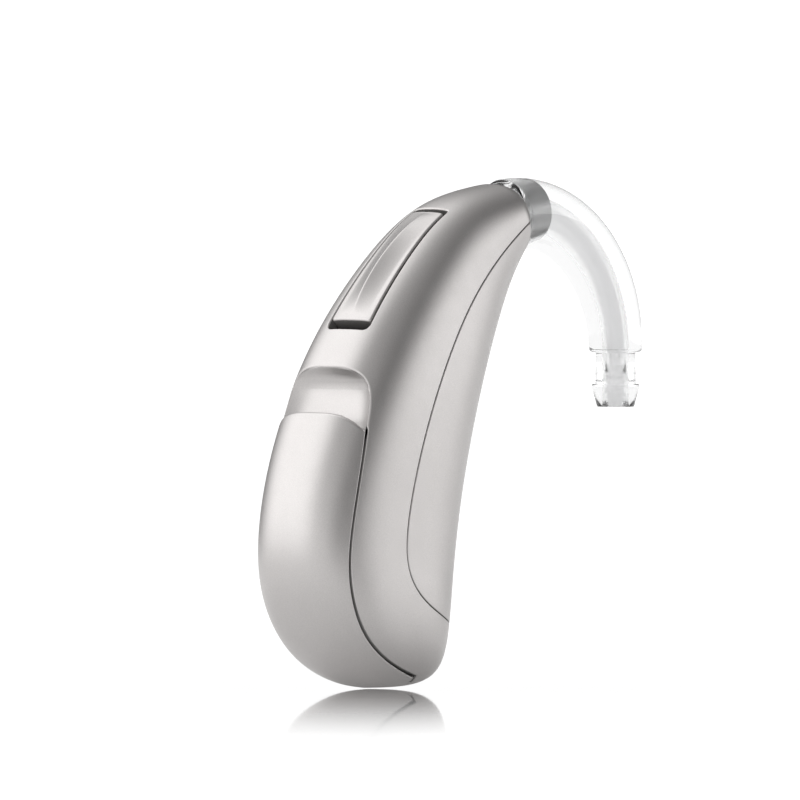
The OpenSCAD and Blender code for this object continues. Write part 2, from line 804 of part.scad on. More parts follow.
module hook_spigot() {
    inside = nose_plate + hook_gap + flange_t + seat_clear;
    color([0.6, 0.6, 0.62]) placed() at_hook() difference() {
        union() {
            translate([0, 0, -inside]) cylinder(h = inside + spigot_l, r = spigot_r);
            translate([0, 0, -inside]) cylinder(h = flange_t, r = flange_r);
        }
        translate([0, 0, -inside - over]) cylinder(h = inside + spigot_l + 2 * over, r = channel_r);
    }
}

ring_w = 0.4;
ring_r = spigot_r + thread_clear + ring_w;
module hook_seal() {
    color([0.2, 0.2, 0.2]) placed() at_hook() difference() {
        cylinder(h = seal_t, r = ring_r);
        translate([0, 0, -over]) cylinder(h = seal_t + 2 * over, r = spigot_r + thread_clear);
    }
}

// On the axis of the nozzle, at drop below the end of the arch
module at_nozzle(drop) {
    translate([arch_centre[0] + arch_r, 0, arch_centre[1] - drop]) children();
}

arch_steps = 24;
arch_sides = 28;
module ear_hook() {
    color([0.9, 0.92, 0.94, 0.45]) placed() difference() {
        union() {
            closed_skin([
                for (i = [0:arch_steps])
                    let (a = (90 + seat_tilt) * (1 - i / arch_steps))
                    let (c = arch_centre + arch_r * [cos(a), sin(a)], r = arch_radius(a))
                    [for (j = [0:arch_sides - 1])
                        let (w = 360 * j / arch_sides)
                        [c[0] + r * cos(w) * cos(a), r * sin(w), c[1] + r * cos(w) * sin(a)]]
            ]);
            at_nozzle(neck_l) cylinder(h = neck_l + hook_tip_r / 4, r = neck_r);
            at_nozzle(neck_l + barb_land) cylinder(h = barb_land, r = barb_r);
            at_nozzle(neck_l + barb_l) cylinder(h = barb_l - barb_land, r1 = barb_tip_r, r2 = barb_r);
        }
        at_hook() {
            translate([0, 0, -over]) cylinder(h = over + spigot_l + hook_gap, r = spigot_r + thread_clear);
            translate([0, 0, -over]) cylinder(h = over + seal_t + seat_clear, r = ring_r + seat_clear);
        }
        translate([arch_centre[0], 0, arch_centre[1]]) rotate([90, 0, 0])
            rotate_extrude(angle = 90 + seat_tilt) translate([arch_r, 0]) circle(r = channel_r);
        at_nozzle(neck_l + barb_l + over) cylinder(h = neck_l + barb_l + over, r = channel_r);
    }
}

housing();
front_cover();
battery_door();
cell_tray();
door_pin();
cell_can();
cell_gasket();
cell_lid();
rocker();
rocker_pin();
switch_frame();
switch_board();
switch_domes();
front_microphone();
rear_microphone();
microphone_seals();
chassis();
circuit_board();
hearing_chip();
board_parts();
telecoil();
receiver();
receiver_boots();
receiver_tube();
hook_spigot();
hook_seal();
ear_hook();
positive_contact();
negative_contact();
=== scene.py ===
import math

import bpy
import numpy as np
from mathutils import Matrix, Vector


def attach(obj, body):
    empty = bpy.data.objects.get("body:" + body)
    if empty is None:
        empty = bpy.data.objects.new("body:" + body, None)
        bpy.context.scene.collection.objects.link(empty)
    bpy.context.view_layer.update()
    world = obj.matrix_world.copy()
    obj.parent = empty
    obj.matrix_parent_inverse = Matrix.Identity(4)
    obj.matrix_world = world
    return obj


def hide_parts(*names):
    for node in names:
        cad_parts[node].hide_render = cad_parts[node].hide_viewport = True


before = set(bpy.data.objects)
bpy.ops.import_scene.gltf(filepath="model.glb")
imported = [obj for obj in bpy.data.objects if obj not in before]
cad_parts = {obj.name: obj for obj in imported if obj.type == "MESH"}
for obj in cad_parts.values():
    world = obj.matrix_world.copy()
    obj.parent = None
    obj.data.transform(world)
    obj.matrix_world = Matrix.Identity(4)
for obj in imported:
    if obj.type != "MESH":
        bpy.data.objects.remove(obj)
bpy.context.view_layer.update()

# The casing's form, in millimetres

DEPTH, HEIGHT, WIDTH = 24.0, 36.0, 9.8
WALL = 0.85
NOSE_ROUND = 1.0
MM = 0.001
TINY = 1e-9

# Sections from the heel to the nose. Each has its place on the back and on the front in the side
# view and its half width, as shares of depth, height and width, and then how square it is.
SECTION_SHARES = [
    [0.408, 0, 0.408, 0, 0, 3.4],
    [0.354, 0.006, 0.554, 0, 0.245, 3.4],
    [0.233, 0.05, 0.629, 0.031, 0.449, 3.4],
    [0.117, 0.136, 0.65, 0.128, 0.505, 3.4],
    [0.058, 0.25, 0.671, 0.228, 0.5, 3.4],
    [0.092, 0.406, 0.696, 0.342, 0.5, 3.4],
    [0.188, 0.564, 0.733, 0.458, 0.5, 3.4],
    [0.325, 0.719, 0.792, 0.575, 0.48, 3.2],
    [0.525, 0.864, 0.867, 0.689, 0.429, 3],
    [0.725, 0.969, 0.95, 0.783, 0.367, 2.6],
    [1.004, 0.992, 1.033, 0.856, 0.306, 2.2],
]
DOOR_SEAM_SHARES = [
    [0.233, 0.514], [0.196, 0.422], [0.163, 0.328], [0.148, 0.247], [0.167, 0.172],
    [0.225, 0.1], [0.342, 0.044], [0.533, 0.014],
]
COVER_SEAM_SHARES = [
    [1.025, 0.925], [0.858, 0.861], [0.692, 0.769], [0.558, 0.644], [0.458, 0.508],
    [0.392, 0.369], [0.367, 0.261], [0.413, 0.192], [0.525, 0.144], [0.7, 0.108],
]
SCOOP_SHARES = [
    [0.254, 0.64], [0.267, 0.617], [0.267, 0.594], [0.256, 0.561], [0.242, 0.531], [0.233, 0.512],
]
DOOR_TOP_SHARE = [0.181, 0.561]
SECTIONS = np.array(SECTION_SHARES) * [DEPTH, HEIGHT, DEPTH, HEIGHT, WIDTH, 1]
LAST = len(SECTIONS) - 1


def curve(points, u):
    """The smooth curve of the mouldings: a cubic spline that starts and ends on its end points."""
    p = np.asarray(points, float)
    p = np.vstack([2 * p[0] - p[1], p, 2 * p[-1] - p[-2]])
    u = np.asarray(u, float)
    i = np.clip(np.floor(u).astype(int), 0, len(p) - 4)
    t = (u - i)[..., None]
    return (
        (1 - t) ** 3 * p[i]
        + (3 * t**3 - 6 * t**2 + 4) * p[i + 1]
        + (3 * t + 3 * t**2 - 3 * t**3 + 1) * p[i + 2]
        + t**3 * p[i + 3]
    ) / 6


def smooth_line(shares, steps):
    points = np.array(shares) * [DEPTH, HEIGHT]
    return curve(points, np.linspace(0, len(points) - 1, steps + 1))


def unit(v):
    return v / np.maximum(np.linalg.norm(v, axis=-1, keepdims=True), 1e-12)


def xz(p):
    return p[..., [0, 2]]


def deep(v):
    """A direction of the side view as a direction in space."""
    return np.stack([v[..., 0], np.zeros(v.shape[:-1]), v[..., 1]], -1)


def middle(u):
    s = curve(SECTIONS, u)
    return (s[..., 0:2] + s[..., 2:4]) / 2


NOSE_STEP = np.linalg.norm(middle(LAST) - middle(LAST - 1))
NOSE_START = LAST - NOSE_ROUND / NOSE_STEP
HEEL_ROWS, BODY_ROWS, ROUND_ROWS, FACE_ROWS = 24, 226, 8, 5
HEEL_START, HEEL_SPAN, HEEL_EASE = 0.02, 0.68, 1.2
HEEL_END = HEEL_START + HEEL_SPAN
SPIGOT_HOLE = 1.23


def skin(v, a):
    """A point of the casing's skin at row v and angle a, from the heel to the face of the nose."""
    v = np.asarray(v, float)
    a = np.asarray(a, float) + 0 * v
    heel = np.clip(v / HEEL_ROWS, 0, 1)
    body = np.clip((v - HEEL_ROWS) / BODY_ROWS, 0, 1)
    turn = np.clip((v - HEEL_ROWS - BODY_ROWS) / ROUND_ROWS, 0, 1) * math.pi / 2
    face = np.clip((v - HEEL_ROWS - BODY_ROWS - ROUND_ROWS) / FACE_ROWS, 0, 1)[..., None]
    u = HEEL_START + HEEL_SPAN * heel**HEEL_EASE + (NOSE_START - HEEL_END) * body
    u = u + NOSE_ROUND * np.sin(turn) / NOSE_STEP
    inset = NOSE_ROUND * (1 - np.cos(turn))
    s = curve(SECTIONS, u)
    c, h = (s[..., 0:2] + s[..., 2:4]) / 2, (s[..., 2:4] - s[..., 0:2]) / 2
    n, long = s[..., 5], np.linalg.norm(h, axis=-1)
    r = (np.abs(np.cos(a)) ** n + np.abs(np.sin(a)) ** n) ** (-1 / n)
    way = h / np.maximum(long, TINY)[..., None]

    def in_section(t, y):
        return np.stack([c[..., 0] + way[..., 0] * t, y, c[..., 1] + way[..., 1] * t], -1)

    half_long, half_wide = np.maximum(long - inset, 0), np.maximum(s[..., 4] - inset, 0)
    rim = in_section(-r * np.cos(a) * half_long, r * np.sin(a) * half_wide)
    hole = in_section(-SPIGOT_HOLE * np.cos(a), SPIGOT_HOLE * np.sin(a))
    return rim * (1 - face) + hole * face


def facing(place, p, q, sign, step=1e-3):
    """Outward direction of a form at its places (p, q)."""
    along = place(p + step, q) - place(p - step, q)
    round_ = place(p, q + step) - place(p, q - step)
    return sign * unit(np.cross(round_, along))


# Seams and edges


class Outline:
    """A closed line in a flat view, with the distance and the way to it."""

    def __init__(self, points):
        self.a = np.asarray(points, float)
        self.b = np.roll(self.a, -1, axis=0)

    def inside(self, q):
        """Distance of each place, above 0 inside, the way inwards and the nearest edge."""
        ab = self.b - self.a
        aq = q[:, None] - self.a[None]
        t = np.clip((aq * ab).sum(-1) / np.maximum((ab * ab).sum(-1), 1e-12), 0, 1)
        gap = aq - t[..., None] * ab
        far = np.linalg.norm(gap, axis=-1)
        near = far.argmin(1)
        rows = np.arange(len(q))
        crossing = (self.a[:, 1] > q[:, None, 1]) != (self.b[:, 1] > q[:, None, 1])
        rise = np.where(np.abs(ab[:, 1]) < 1e-12, 1e-12, ab[:, 1])
        x = self.a[:, 0] + (q[:, None, 1] - self.a[:, 1]) * ab[:, 0] / rise
        within = (crossing & (q[:, None, 0] < x)).sum(1) % 2 == 1
        sign = np.where(within, 1.0, -1.0)
        distance, way = far[rows, near], gap[rows, near]
        edge = unit(ab[near])
        square = np.stack([-edge[:, 1], edge[:, 0]], -1)
        turned = np.where(self.clockwise(), -1.0, 1.0)
        way = np.where((distance < 1e-7)[:, None], square * turned, unit(way) * sign[:, None])
        return distance * sign, way, near

    def clockwise(self):
        return (self.a[:, 0] * self.b[:, 1] - self.b[:, 0] * self.a[:, 1]).sum() < 0


DOOR_LINE = smooth_line(DOOR_SEAM_SHARES, 56)
DOOR_TOP = np.array(DOOR_TOP_SHARE) * [DEPTH, HEIGHT]
LIP_WAY = unit(DOOR_TOP - DOOR_LINE[0])
COVER_LINE = smooth_line(COVER_SEAM_SHARES, 72)
SCOOP_LINE = smooth_line(SCOOP_SHARES, 40)
NEAR, FAR = -1, HEIGHT + 1
SCOOP_RISE = 1

lip_end = DOOR_LINE[0] + LIP_WAY * HEIGHT
DOOR = Outline([[NEAR, NEAR], [NEAR, lip_end[1]], lip_end, *DOOR_LINE, [DOOR_LINE[-1][0], NEAR]])
LIP_EDGE = 2
COVER = Outline(
    [*COVER_LINE, [FAR, COVER_LINE[-1][1] - FAR / 4], [FAR, COVER_LINE[0][1] + FAR / 8]]
)
SCOOP = Outline([[NEAR, SCOOP_LINE[0][1] + SCOOP_RISE], *SCOOP_LINE, [NEAR, SCOOP_LINE[-1][1]]])

DOOR_GAP, COVER_GAP = 0.12, 0.06
KNUCKLE_R, KNUCKLE_GAP, KNUCKLE_W = 1.25, 0.14, 5.0
HINGE_LIFT = 0.06
HINGE = np.array([DOOR_SEAM_SHARES[-1][0] * DEPTH, KNUCKLE_R + HINGE_LIFT])
LIP_EDGE_R, SEAM_EDGE_R, COVER_EDGE_R, SCOOP_EDGE_R = 0.3, 0.1, 0.07, 0.22

# Where the rocker begins and ends along the back, counted in sections
ROCKER_PLACES = [7.07, 8.75]
ROCKER_ENDS = curve(SECTIONS, np.array(ROCKER_PLACES))[:, 0:2]
ROCKER_MID = ROCKER_ENDS.mean(0)
ROCKER_WAY = unit(ROCKER_ENDS[1] - ROCKER_ENDS[0])
ROCKER_OUT = np.array([-ROCKER_WAY[1], ROCKER_WAY[0]])
ROCKER_L = float(np.linalg.norm(ROCKER_ENDS[1] - ROCKER_ENDS[0]))
ROCKER_LOW_W, ROCKER_TOP_W = 3.7, 3.0
ROCKER_T, ROCKER_EDGE_R, ROCKER_CORNER_R = 0.95, 0.14, 0.2
ROCKER_GAP, SLOT_LOW, SLOT_TOP = 0.12, 0.75, 0.4
SLOT_CORNER_R, OPENING_EDGE_R = 0.5, 0.12
OPENING_DEPTH, UNTOUCHED = 3, 9.0


def rocker_outline(side, low, high, corner_low, corner_high):
    """The outline of the rocker seen from above it, grown at its sides and its two ends."""

    def half(x):
        return (ROCKER_LOW_W + ROCKER_TOP_W) / 4 + (ROCKER_TOP_W - ROCKER_LOW_W) / 2 * x / ROCKER_L

    def corner(x, w, r, inwards, turn):
        return [[x + inwards * r * (1 - math.cos(t)), w - r * (1 - math.sin(t))] for t in turn]

    x0, x1 = -ROCKER_L / 2 - low, ROCKER_L / 2 + high
    turn = np.radians(np.linspace(0, 90, 7))
    half_way = corner(x0, half(x0) + side, corner_low, 1, turn)
    half_way += corner(x1, half(x1) + side, corner_high, -1, turn[::-1])
    return Outline(half_way + [[x, -y] for x, y in reversed(half_way)])


ROCKER_EDGE = rocker_outline(0, 0, 0, ROCKER_CORNER_R, ROCKER_CORNER_R)
OPENING_EDGE = rocker_outline(ROCKER_GAP, SLOT_LOW, SLOT_TOP, SLOT_CORNER_R, ROCKER_CORNER_R)


def side_edge(outline, grow, round_r, inside=True):
    """Edge of a shell along a line of the side view. Positive where material stays."""

    def edge(p):
        d, way, _ = outline.inside(xz(p))
        s = 1.0 if inside else -1.0
        return s * d - grow, s * deep(way), np.full(len(p), round_r)

    return edge


def door_edge(p):
    """The door's own edge: a thick round lip at its top and a fine seam along its flanks."""
    d, way, near = DOOR.inside(xz(p))
    rho, out = hinge_distance(p)
    cheek = most(
        (rho - KNUCKLE_R - KNUCKLE_GAP, out),
        (KNUCKLE_W / 2 - np.abs(p[:, 1]), across_way(p, -1)),
    )
    knuckle = least((KNUCKLE_R - rho, -out), (KNUCKLE_W / 2 - np.abs(p[:, 1]), across_way(p, -1)))
    f, g = most(least((d, deep(way)), cheek), knuckle)
    return f, g, np.where(near == LIP_EDGE, LIP_EDGE_R, SEAM_EDGE_R)


def hinge_distance(p):
    """Distance from the hinge's axis, and the way away from it."""
    v = xz(p) - HINGE
    rho = np.linalg.norm(v, axis=-1)
    return rho, deep(v / np.maximum(rho, TINY)[:, None])


def across_way(p, s):
    """The way across the casing, outwards for s of 1 and inwards for -1."""
    g = np.zeros_like(p)
    g[:, 1] = s * np.sign(p[:, 1])
    return g


def least(a, b):
    """The smaller of two distances, each with its way."""
    pick = a[0] < b[0]
    return np.where(pick, a[0], b[0]), np.where(pick[:, None], a[1], b[1])


def most(a, b):
    """The larger of two distances, each with its way."""
    pick = a[0] > b[0]
    return np.where(pick, a[0], b[0]), np.where(pick[:, None], a[1], b[1])


def housing_door_edge(p):
    """The housing ends at the door, but keeps a round cheek at each end of the hinge."""
    d, way, _ = DOOR.inside(xz(p))
    rho, out = hinge_distance(p)
    reach = np.abs(p[:, 1]) - KNUCKLE_W / 2 - KNUCKLE_GAP
    cheek = least((KNUCKLE_R - rho, -out), (reach, across_way(p, 1)))
    pocket = most((rho - KNUCKLE_R - KNUCKLE_GAP, out), (reach, across_way(p, 1)))
    f, g = least(most((-d - DOOR_GAP, -deep(way)), cheek), pocket)
    return f, g, np.full(len(p), SEAM_EDGE_R)


def rocker_frame(p):
    """Places as seen from above the rocker, and their height over its line."""
    v = xz(p) - ROCKER_MID
    return np.stack([v @ ROCKER_WAY, p[:, 1]], -1), v @ ROCKER_OUT


def rocker_line(outline, round_r, inside):
    """Edge of a shell along an outline seen from above the rocker."""

    def edge(p):
        q, up = rocker_frame(p)
        d, way, _ = outline.inside(q)
        s = 1.0 if inside else -1.0
        g = way[:, :1] * deep(ROCKER_WAY[None]) + way[:, 1:] * np.array([0.0, 1.0, 0.0])
        f = np.where(up > -OPENING_DEPTH, s * d, UNTOUCHED)
        return f, s * g, np.full(len(p), round_r)

    return edge


class Shell:
    """A moulded skin: cut out of a form along its edges, rounded there, and given its wall."""

    # Lines cut into the skin beside an edge: 0 is the edge, 1 where its rounding starts
    LEVELS = [0.0, 0.15, 0.35, 0.6, 0.8, 1.0]
    ON_LEVEL = 1e-6
    HALVINGS = 12
    LEAST_LEAN = 0.04
    TURN_COSINES = (-0.8, 0.96)
    LEAST_SLOPE = 0.35

    def __init__(self, place, sign, edges, p, q, round_q=True):
        self.place, self.sign, self.edges = place, sign, edges
        rows, sides = len(p), len(q)
        grid_p, grid_q = np.meshgrid(p, q, indexing="ij")
        self.at = np.stack([grid_p.ravel(), grid_q.ravel()], -1)
        k = np.arange(rows * sides).reshape(rows, sides)
        nxt = np.roll(k, -1, axis=1) if round_q else k[:, 1:]
        cur = k if round_q else k[:, :-1]
        self.turn = 2 * math.pi if round_q else 0.0
        quads = np.stack([cur[:-1], nxt[:-1], nxt[1:], cur[1:]], -1).reshape(-1, 4)
        level = self.level(self.at)[0]
        keep = (level[quads] > 0).any(1)
        corner = [place(*self.at[quads[:1, k]].T) for k in (0, 1, 3)]
        straight = facing(place, *self.at[quads[:1, 0]].T, sign)
        if (np.cross(corner[1] - corner[0], corner[2] - corner[0]) * straight).sum() < 0:
            quads = quads[:, ::-1]
        self.faces = [list(f) for f in quads[keep]]
        self.values = list(level)
        self.at = [tuple(v) for v in self.at]
        for height in self.LEVELS:
            self.cut(height, keep_low=height > 0)
        self.at = np.array(self.at)

    def level(self, at):
        """How far each place is from the nearest edge, where 1 is the start of its rounding."""
        at = np.asarray(at, float)
        p = self.place(at[:, 0], at[:, 1])
        n = facing(self.place, at[:, 0], at[:, 1], self.sign)
        best = None
        for edge in self.edges:
            f, g, r = edge(p)
            gn = (g * n).sum(-1)
            lean = np.sqrt(np.clip(1 - gn**2, self.LEAST_LEAN, 1))
            turn = np.arccos(np.clip(-gn, *self.TURN_COSINES))
            start = r * np.tan(turn / 2)
            q = f / lean / start
            now = (q, f / lean, turn, start, r, g)
            if best is None:
                best = now
            else:
                pick = q < best[0]
                best = tuple(
                    np.where(pick if a.ndim == 1 else pick[:, None], a, b)
                    for a, b in zip(now, best)
                )
        return (*best, p, n)

    def cut(self, height, keep_low):
        """Cuts the faces along one level, and drops what lies below it unless that is kept."""
        value = np.array(self.values) - height
        low = value < -self.ON_LEVEL
        high = value > self.ON_LEVEL
        pairs = {}
        mixed = []
        for k, f in enumerate(self.faces):
            if low[f].any() and high[f].any():
                mixed.append(k)
                for a, b in zip(f, f[1:] + f[:1]):
                    if (low[a] and high[b]) or (high[a] and low[b]):
                        pairs[(min(a, b), max(a, b))] = None
        if pairs:
            keys = list(pairs)
            a = np.array([self.at[i] for i, _ in keys])
            b = np.array([self.at[j] for _, j in keys])
            if self.turn:
                b[:, 1] += self.turn * np.round((a[:, 1] - b[:, 1]) / self.turn)
            fa = value[[i for i, _ in keys]]
            for _ in range(self.HALVINGS):
                m = (a + b) / 2
                fm = self.level(m)[0] - height
                same = np.sign(fm) == np.sign(fa)
                a = np.where(same[:, None], m, a)
                fa = np.where(same, fm, fa)
                b = np.where(same[:, None], b, m)
            for key, at in zip(keys, (a + b) / 2):
                pairs[key] = len(self.at)
                self.at.append(tuple(at))
                self.values.append(height)
        faces = []
        mixed = set(mixed)
        for k, f in enumerate(self.faces):
            if k not in mixed:
                if keep_low or not low[f].any():
                    faces.append(f)
                continue
            top, bottom = [], []
            for a, b in zip(f, f[1:] + f[:1]):
                if not low[a]:
                    top.append(a)
                if not high[a]:
                    bottom.append(a)
                new = pairs.get((min(a, b), max(a, b)))
                if new is not None and ((low[a] and high[b]) or (high[a] and low[b])):
                    top.append(new)
                    bottom.append(new)
            if len(top) > 2:
                faces.append(top)
            if keep_low and len(bottom) > 2:
                faces.append(bottom)
        self.faces = faces

    def build(self, wall):
        """Rounds the edges, and gives the shell its inside and its border."""
        used = sorted({v for f in self.faces for v in f})
        number = {v: i for i, v in enumerate(used)}
        faces = [[number[v] for v in f] for f in self.faces]
        at = self.at[used]
        q, d, turn, start, r, g, p, n = self.level(at)
        q = np.where(np.array(self.values)[used] == 0.0, 0.0, q)
        q = np.clip(q, 0, 1)
        e = unit(g - (g * n).sum(-1, keepdims=True) * n)
        tilt = turn * (1 - q)
        shift = (start - r * np.sin(tilt)) - q * start
        drop = r * (1 - np.cos(tilt))
        near = (q < 1)[:, None]
        top = np.where(near, p + shift[:, None] * e - drop[:, None] * n, p)
        top_n = np.where(near, unit(n * np.cos(tilt)[:, None] - e * np.sin(tilt)[:, None]), n)
        out = -g
        slope = unit(-(n - (n * out).sum(-1, keepdims=True) * out))
        reach = wall / np.clip(-(slope * n).sum(-1), self.LEAST_SLOPE, 1)
        edge = (np.abs(q) < TINY)[:, None]
        low = np.where(edge, p + slope * reach[:, None], p - n * wall)
        border = {}
        for f in faces:
            for a, b in zip(f, f[1:] + f[:1]):
                if (b, a) in border:
                    del border[(b, a)]
                else:
                    border[(a, b)] = True
        self.edge_value, self.top, self.top_n, self.faces_out = q, top, top_n, faces
        self.low, self.border, self.at_used, self.rim_n = low, list(border), at, out


OUTER, INNER = 0, 1


def shell_mesh(name, shell, wall, open_rim=None, extra=None, inner=None):
    """The finished mesh of a shell, with its facings, ready to be placed."""
    shell.build(wall)
    top, top_n, rim_n, count = shell.top, shell.top_n, shell.rim_n, len(shell.top)
    low = inner(shell) if inner else shell.low
    points = np.vstack([top, low])
    faces = [list(f) for f in shell.faces_out]
    normals = [[top_n[v] for v in f] for f in faces]
    kinds = [OUTER] * len(faces)
    for f in shell.faces_out:
        faces.append([v + count for v in reversed(f)])
        normals.append([-top_n[v] for v in reversed(f)])
        kinds.append(INNER)
    open_points = set(open_rim(shell).tolist()) if open_rim else set()
    for a, b in shell.border:
        if a in open_points and b in open_points:
            continue
        faces.append([b, a, a + count, b + count])
        on_edge = shell.edge_value[a] < TINY and shell.edge_value[b] < TINY
        none = np.zeros(3)
        normals.append([rim_n[v] if on_edge else none for v in (b, a, a, b)])
        kinds.append(INNER)
    if extra:
        more_points, more_faces, more_normals = extra(shell, len(points))
        points = np.vstack([points, more_points])
        faces += more_faces
        normals += more_normals
        kinds += [OUTER] * len(more_faces)
    return make_mesh(name, points, faces, normals, kinds)


# The frame's origin, where the arch of the hook rests on the ear

SEAT_TILT = math.radians(8)
HOOK_GAP = 0.15
ARCH_R = 10.0
HOOK_ROOT_R, HOOK_TIP_R = 2.6, 1.87
HOOK_WAY = np.array([math.cos(SEAT_TILT), math.sin(SEAT_TILT)])
HOOK_SEAT = middle(LAST) + HOOK_WAY * HOOK_GAP
HOOK_UP = np.array([math.cos(SEAT_TILT + math.pi / 2), math.sin(SEAT_TILT + math.pi / 2)])
ARCH_CENTRE = HOOK_SEAT - ARCH_R * HOOK_UP
ARCH_SWEEP = math.pi / 2 + SEAT_TILT


def arch_radius(a):
    """The hook's radius at an angle of its arch: it narrows from its root to its tip."""
    return HOOK_TIP_R + (HOOK_ROOT_R - HOOK_TIP_R) * a / ARCH_SWEEP


REST_ANGLE = math.radians(84)
REST_WAY = np.array([math.cos(REST_ANGLE), math.sin(REST_ANGLE)])
REST = ARCH_CENTRE + (ARCH_R - arch_radius(REST_ANGLE)) * REST_WAY


def placed(points):
    """Millimetres of the casing's own drawing to metres of the frame."""
    return (np.asarray(points, float) - [REST[0], 0, REST[1]]) * MM


def make_mesh(name, points, faces, normals=None, kinds=None):
    """A piece made of points and faces, with a facing for each corner and a finish for each face."""
    mesh = bpy.data.meshes.new(name)
    mesh.from_pydata([tuple(v) for v in placed(points)], [], faces)
    mesh.validate(clean_customdata=False)
    mesh.polygons.foreach_set("use_smooth", [True] * len(mesh.polygons))
    if kinds is not None and len(kinds) == len(mesh.polygons):
        mesh.polygons.foreach_set("material_index", kinds)
    if normals is not None:
        flat = [tuple(v) for f in normals for v in f]
        if len(flat) == len(mesh.loops):
            mesh.normals_split_custom_set(flat)
        else:
            print("facings left out of", name, len(flat), len(mesh.loops))
    mesh.update()
    piece = bpy.data.objects.new(name, mesh)
    bpy.context.scene.collection.objects.link(piece)
    return piece


# The three shells of the casing

SIDES = 144
ROWS = HEEL_ROWS + BODY_ROWS + ROUND_ROWS + FACE_ROWS
ANGLES = np.arange(SIDES) * 2 * math.pi / SIDES
PLACES = np.arange(ROWS + 1, dtype=float)
PROBE_ROW, PROBE_ANGLE, PROBE_SECTION = 150.0, 0.3, 5.0
skin_way = facing(skin, np.array([PROBE_ROW]), np.array([PROBE_ANGLE]), 1.0)[0]
inward = deep(middle(PROBE_SECTION)) - skin(PROBE_ROW, PROBE_ANGLE)
SKIN_SIGN = 1.0 if (skin_way * inward).sum() < 0 else -1.0


def heel_cap(shell, first):
    """Closes the very tip of the heel, where the rings meet."""
    rows = np.flatnonzero(shell.at_used[:, 0] < 0.5)
    if not len(rows):
        return np.zeros((0, 3)), [], []
    order = rows[np.argsort(shell.at_used[rows, 1] % (2 * math.pi))]
    tip = shell.top[order].mean(0)
    faces = [[int(b), int(a), first] for a, b in zip(order, np.roll(order, -1))]
    down = np.array([0.0, 0.0, -1.0])
    return tip[None], faces, [[down] * 3 for _ in faces]


housing = Shell(
    skin,
    SKIN_SIGN,
    [
        housing_door_edge,
        side_edge(COVER, COVER_GAP, COVER_EDGE_R, inside=False),
        side_edge(SCOOP, 0, SCOOP_EDGE_R, inside=False),
        rocker_line(OPENING_EDGE, OPENING_EDGE_R, inside=False),
    ],
    PLACES,
    ANGLES,
)
cover = Shell(skin, SKIN_SIGN, [side_edge(COVER, 0, COVER_EDGE_R)], PLACES, ANGLES)
door = Shell(skin, SKIN_SIGN, [door_edge], PLACES, ANGLES)


SCOOP_DEPTH, SCOOP_SLOPE_W = 0.5, 2.2
SCOOP_IN = np.array([0.994, 0.0, -0.108])
SCOOP_COLUMNS, SKIRT_ROWS, WALL_MARKS = 32, 6, 5
SKIRT_DROP, SKIRT_INSET, BEHIND_W = 1.8, 0.1, 1.5
ON_LINE, ON_MIDDLE = 0.004, 1e-5


def inside_back(height, inset):
    """A place behind the back of the casing, between its fourth and seventh section."""
    s = curve(SECTIONS, np.linspace(3, 6, 301))
    k = int(np.argmax(s[:, 1] >= height))
    half = (s[k, 2:4] - s[k, 0:2]) / 2
    return s[k, 0:2] + inset * unit(half)


def scoop_dish(p, rim):
    """How far the floor of the scoop sinks below the straight line from flank to flank."""
    gap = rim[None, :, 1:] - p[:, None, 1:]
    near = np.linalg.norm(gap, axis=-1).min(1)
    return SCOOP_IN * (SCOOP_DEPTH * (1 - (1 - np.clip(near / SCOOP_SLOPE_W, 0, 1)) ** 3))[:, None]


def scoop_rim(shell):
    """The points of the shell at which the floor of the scoop begins."""
    p = xz(skin(*shell.at_used.T))
    on_scoop = np.abs(SCOOP.inside(p)[0]) < ON_LINE
    over_door = -DOOR.inside(p)[0] - DOOR_GAP > -ON_LINE
    return np.flatnonzero((shell.edge_value < TINY) & on_scoop & over_door)


def scoop_floor(shell, first):
    """The finger scoop: a floor from one flank to the other, and on behind the lip of the door."""
    rows = scoop_rim(shell)
    across = shell.top[rows, 1]
    left, right = rows[across > ON_MIDDLE], rows[across < -ON_MIDDLE]
    centre = rows[np.abs(across) <= ON_MIDDLE]
    left = left[np.argsort(-shell.top[left, 2])]
    right = right[np.argsort(-shell.top[right, 2])]
    count = min(len(left), len(right))
    left, right = left[:count], right[:count]
    points, faces, strips = [], [], []
    for a, b in zip(right, left):
        pa, pb = shell.top[a], shell.top[b]
        strip = [int(a)]
        for k in range(1, SCOOP_COLUMNS):
            strip.append(first + len(points))
            points.append(pa + (pb - pa) * k / SCOOP_COLUMNS)
        strips.append(strip + [int(b)])
    end = xz(shell.top[right[-1]])
    low = inside_back(DOOR_LINE[0][1] - SKIRT_DROP, WALL + 3 * DOOR_GAP)
    half = shell.top[left[-1], 1] - SKIRT_INSET
    for k in range(1, SKIRT_ROWS + 1):
        q = end + (low - end) * k / SKIRT_ROWS
        strip = []
        for j in range(SCOOP_COLUMNS + 1):
            strip.append(first + len(points))
            points.append(np.array([q[0], half * (2 * j / SCOOP_COLUMNS - 1), q[1]]))
        strips.append(strip)
    for upper, lower in zip(strips, strips[1:]):
        for k in range(SCOOP_COLUMNS):
            faces.append([upper[k], lower[k], lower[k + 1], upper[k + 1]])
    ends = shell.top[right[-1]], shell.top[left[-1]]
    wall_below = [[0.0, p[1], p[2] - k] for p in ends for k in range(WALL_MARKS)]
    rim = np.vstack([shell.top[np.concatenate([right, left, centre])], wall_below])
    points = np.array(points)
    points = points + scoop_dish(points, rim)
    for top in centre[:1]:
        for k in range(SCOOP_COLUMNS):
            faces.append([int(top), strips[0][k], strips[0][k + 1]])
    return points, faces, [[np.zeros(3)] * len(f) for f in faces]


